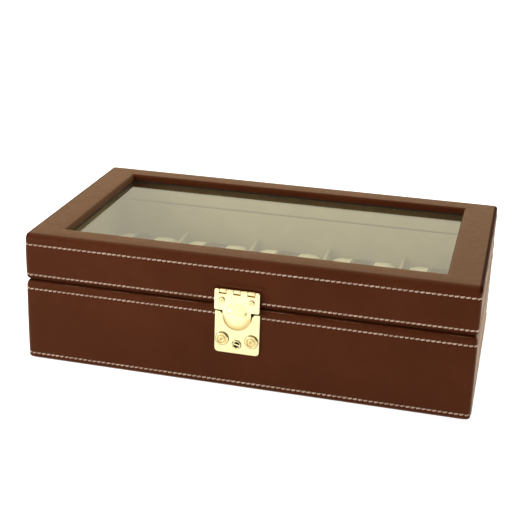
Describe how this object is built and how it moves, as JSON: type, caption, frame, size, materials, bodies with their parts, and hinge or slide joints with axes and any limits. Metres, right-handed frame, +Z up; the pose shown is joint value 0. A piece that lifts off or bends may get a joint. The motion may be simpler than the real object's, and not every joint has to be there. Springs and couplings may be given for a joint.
{
  "type": "watch box",
  "caption": "Oblong leather-covered box with a hinged glass-topped lid, a brass hasp lock on the front, and removable cushions in divided, lined cells for storing wristwatches.",
  "frame": {"origin": "centre of the flat underside, on the surface the box stands on", "axes": "+X along the width to the right seen from the front, -Y out of the front with the lock, +Z up"},
  "size_m": [0.335, 0.2023, 0.101],
  "materials": {
    "brown_leather": "smooth dark reddish-brown calf-grain leather, satin, pale contrast stitching",
    "fibreboard": "raw medium-density fibreboard",
    "underside_felt": "dark brown pressed felt",
    "lining_fabric": "cream short-pile suede cloth",
    "cushion_velour": "cream velour with a brown leather band round the middle",
    "polished_brass": "polished and lacquered pale brass",
    "lock_steel": "plain zinc-plated steel",
    "lid_glass": "clear float glass"
  },
  "bodies": {
    "base": {"base_floor_board": "fibreboard", "base_front_board": "fibreboard", "base_rear_board": "fibreboard", "base_left_board": "fibreboard", "base_right_board": "fibreboard", "base_leather_wrap": "brown_leather", "base_felt_underside": "underside_felt", "base_lining_front": "lining_fabric", "base_lining_rear": "lining_fabric", "base_lining_left": "lining_fabric", "base_lining_right": "lining_fabric", "base_lining_floor": "lining_fabric", "divider_long": "lining_fabric", "divider_cross_1": "lining_fabric", "divider_cross_2": "lining_fabric", "divider_cross_3": "lining_fabric", "divider_cross_4": "lining_fabric", "lock_plate": "polished_brass", "lock_case": "lock_steel", "lock_rivet_left": "polished_brass", "lock_rivet_right": "polished_brass", "hinge_left_base_leaf": "polished_brass", "hinge_right_base_leaf": "polished_brass", "hinge_left_pin": "polished_brass", "hinge_right_pin": "polished_brass", "hinge_left_base_screw_1": "polished_brass", "hinge_left_base_screw_2": "polished_brass", "hinge_right_base_screw_1": "polished_brass", "hinge_right_base_screw_2": "polished_brass"},
    "lid": {"lid_top_frame": "fibreboard", "lid_front_board": "fibreboard", "lid_rear_board": "fibreboard", "lid_left_board": "fibreboard", "lid_right_board": "fibreboard", "lid_leather_wrap": "brown_leather", "lid_glass": "lid_glass", "lid_lining_frame": "lining_fabric", "hinge_left_lid_leaf": "polished_brass", "hinge_right_lid_leaf": "polished_brass", "hinge_left_lid_screw_1": "polished_brass", "hinge_left_lid_screw_2": "polished_brass", "hinge_right_lid_screw_1": "polished_brass", "hinge_right_lid_screw_2": "polished_brass", "hasp_leaf": "polished_brass", "hasp_pin": "polished_brass"},
    "hasp": {"hasp": "polished_brass", "hasp_staple": "polished_brass"},
    "lock_cylinder": {"lock_cylinder": "polished_brass"},
    "lock_bolt": {"lock_bolt": "lock_steel"},
    "watch_cushion_front_1": {"watch_cushion_front_1": "cushion_velour"},
    "watch_cushion_front_2": {"watch_cushion_front_2": "cushion_velour"},
    "watch_cushion_front_3": {"watch_cushion_front_3": "cushion_velour"},
    "watch_cushion_front_4": {"watch_cushion_front_4": "cushion_velour"},
    "watch_cushion_front_5": {"watch_cushion_front_5": "cushion_velour"},
    "watch_cushion_rear_1": {"watch_cushion_rear_1": "cushion_velour"},
    "watch_cushion_rear_2": {"watch_cushion_rear_2": "cushion_velour"},
    "watch_cushion_rear_3": {"watch_cushion_rear_3": "cushion_velour"},
    "watch_cushion_rear_4": {"watch_cushion_rear_4": "cushion_velour"},
    "watch_cushion_rear_5": {"watch_cushion_rear_5": "cushion_velour"}
  },
  "joints": [
    {"name": "lid_hinge", "type": "hinge", "parent": "base", "child": "lid", "pos_m": [0, 0.0979, 0.065], "axis": [-1, 0, 0], "range_deg": [0, 100]},
    {"name": "hasp_hinge", "type": "hinge", "parent": "lid", "child": "hasp", "pos_m": [-0.0022, -0.0972, 0.0769], "axis": [-1, 0, 0], "range_deg": [0, 110]},
    {"name": "lock_turn", "type": "hinge", "parent": "base", "child": "lock_cylinder", "pos_m": [-0.0022, -0.0955, 0.0354], "axis": [0, -1, 0], "range_deg": [0, 90]},
    {"name": "bolt_slide", "type": "slide", "parent": "base", "child": "lock_bolt", "axis": [0, 0, 1], "range_m": [0, 0.00424]},
    {"name": "lift_front_1", "type": "slide", "parent": "base", "child": "watch_cushion_front_1", "axis": [0, 0, 1], "range_m": [0, 0.04]},
    {"name": "lift_front_2", "type": "slide", "parent": "base", "child": "watch_cushion_front_2", "axis": [0, 0, 1], "range_m": [0, 0.04]},
    {"name": "lift_front_3", "type": "slide", "parent": "base", "child": "watch_cushion_front_3", "axis": [0, 0, 1], "range_m": [0, 0.04]},
    {"name": "lift_front_4", "type": "slide", "parent": "base", "child": "watch_cushion_front_4", "axis": [0, 0, 1], "range_m": [0, 0.04]},
    {"name": "lift_front_5", "type": "slide", "parent": "base", "child": "watch_cushion_front_5", "axis": [0, 0, 1], "range_m": [0, 0.04]},
    {"name": "lift_rear_1", "type": "slide", "parent": "base", "child": "watch_cushion_rear_1", "axis": [0, 0, 1], "range_m": [0, 0.04]},
    {"name": "lift_rear_2", "type": "slide", "parent": "base", "child": "watch_cushion_rear_2", "axis": [0, 0, 1], "range_m": [0, 0.04]},
    {"name": "lift_rear_3", "type": "slide", "parent": "base", "child": "watch_cushion_rear_3", "axis": [0, 0, 1], "range_m": [0, 0.04]},
    {"name": "lift_rear_4", "type": "slide", "parent": "base", "child": "watch_cushion_rear_4", "axis": [0, 0, 1], "range_m": [0, 0.04]},
    {"name": "lift_rear_5", "type": "slide", "parent": "base", "child": "watch_cushion_rear_5", "axis": [0, 0, 1], "range_m": [0, 0.04]}
  ],
  "couplings": [
    {"joint": "lock_turn", "follows": "bolt_slide", "rad_per_m": 370.24}
  ]
}
